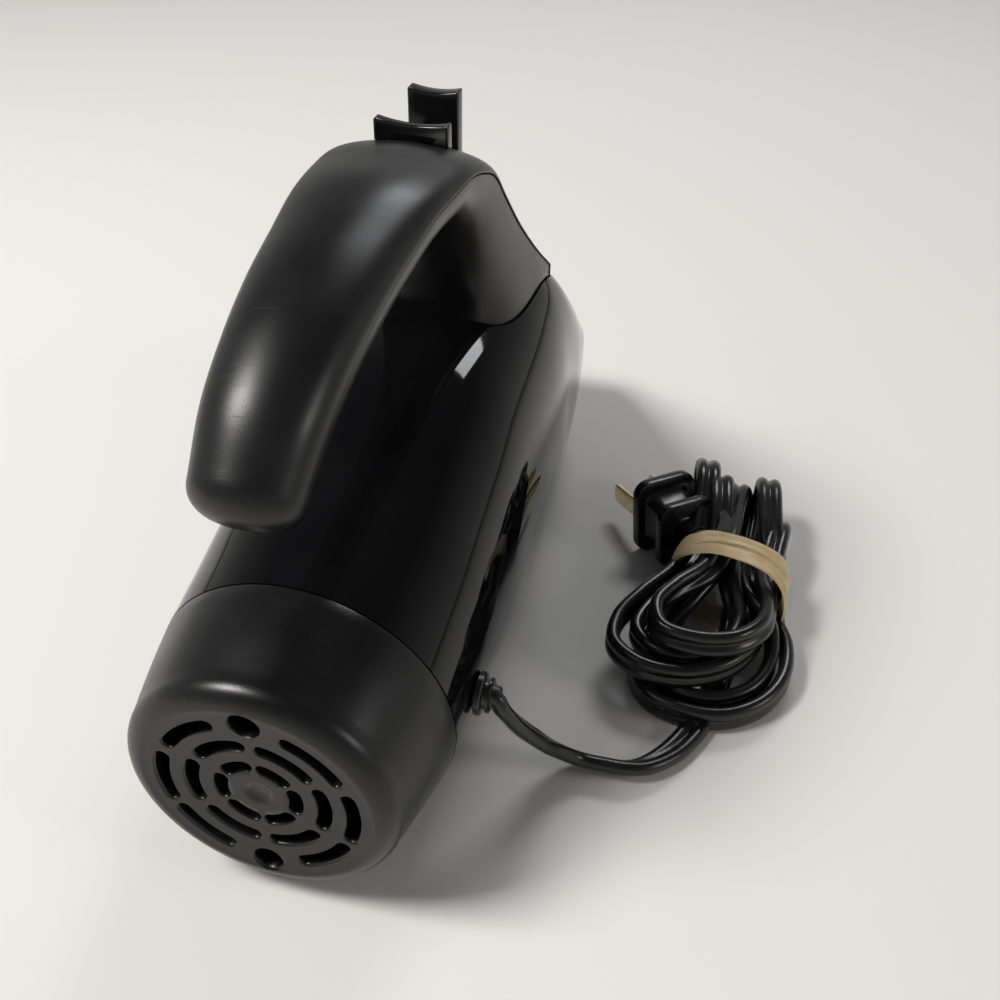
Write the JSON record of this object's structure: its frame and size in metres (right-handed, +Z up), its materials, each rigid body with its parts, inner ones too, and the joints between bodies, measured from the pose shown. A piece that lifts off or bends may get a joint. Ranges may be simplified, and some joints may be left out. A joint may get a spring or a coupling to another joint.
{
  "type": "electric hand mixer",
  "caption": "Black corded hand mixer with an open-ended arched handle, a thumb speed slider, a beater ejector, a vented round motor cap and a hank of flat cord.",
  "frame": {"origin": "centre of the mixer body's footprint on the surface it stands on, without its cord", "axes": "+Y from the vented motor cap to the nose, +Z up through the handle, +X to the side where the cord leaves"},
  "size_m": [0.1426, 0.216, 0.1413],
  "materials": {
    "gloss_shell": "gloss",
    "satin_shell": "satin",
    "soft_grip": "matte",
    "gloss_control": "gloss",
    "white_nylon": "satin",
    "steel": "satin",
    "spring_steel": "satin",
    "dark_screw": "satin",
    "lamination": "satin",
    "copper_wire": "gloss",
    "copper_bar": "satin",
    "carbon": "matte",
    "bronze": "satin",
    "cord_rubber": "satin",
    "latex": "satin",
    "plug_metal": "satin"
  },
  "bodies": {
    "housing": {"upper_housing": "gloss_shell", "lower_housing": "gloss_shell", "rear_cap": "satin_shell", "front_panel": "satin_shell", "handle_frame": "satin_shell", "handle_grip": "soft_grip", "speed_switch": "satin_shell", "ejector_spring": "spring_steel", "cap_screws": "dark_screw", "base_screws": "dark_screw", "neck_screws": "dark_screw", "grip_screws": "dark_screw", "frame_screws": "dark_screw", "stator_core": "lamination", "field_coils": "copper_wire", "rear_bracket": "satin_shell", "bracket_bolts": "steel", "brush_holders": "satin_shell", "carbon_brushes": "carbon", "rear_bearing": "bronze", "front_bearings": "bronze", "gear_frame": "white_nylon", "gear_frame_cover": "white_nylon", "socket_bushes": "bronze", "strain_relief": "cord_rubber", "power_cord": "cord_rubber", "cord_hank": "cord_rubber", "cord_band": "latex", "plug_body": "cord_rubber", "plug_blades": "plug_metal"},
    "rotor": {"motor_shaft": "steel", "armature_core": "lamination", "armature_windings": "copper_wire", "commutator": "copper_bar", "cooling_fan": "white_nylon"},
    "speed_control": {"speed_slider": "gloss_control", "switch_carriage": "white_nylon"},
    "ejector": {"ejector_lever": "gloss_control", "ejector_rod": "steel", "ejector_plate": "white_nylon"},
    "left_beater_drive": {"left_gear": "white_nylon", "left_socket": "steel"},
    "right_beater_drive": {"right_gear": "white_nylon", "right_socket": "steel"}
  },
  "joints": [
    {"name": "speed_slide", "type": "slide", "parent": "housing", "child": "speed_control", "axis": [0, 0.9397, -0.342], "range_m": [0, 0.009]},
    {"name": "ejector_press", "type": "slide", "parent": "housing", "child": "ejector", "axis": [0, 0, -1], "range_m": [0, 0.005], "stiffness_N_per_m": 600, "springref_m": -0.004, "deforming": ["ejector_spring"]},
    {"name": "motor_spin", "type": "hinge", "parent": "housing", "child": "rotor", "pos_m": [0, 0, 0.0355], "axis": [0, 1, 0], "continuous": true},
    {"name": "left_beater_spin", "type": "hinge", "parent": "housing", "child": "left_beater_drive", "pos_m": [-0.0162, 0.042, 0.02], "axis": [0, 0, 1], "continuous": true},
    {"name": "right_beater_spin", "type": "hinge", "parent": "housing", "child": "right_beater_drive", "pos_m": [0.0162, 0.042, 0.02], "axis": [0, 0, 1], "continuous": true}
  ],
  "couplings": [
    {"joint": "left_beater_spin", "follows": "motor_spin", "ratio": -0.041667},
    {"joint": "right_beater_spin", "follows": "motor_spin", "ratio": 0.041667}
  ]
}
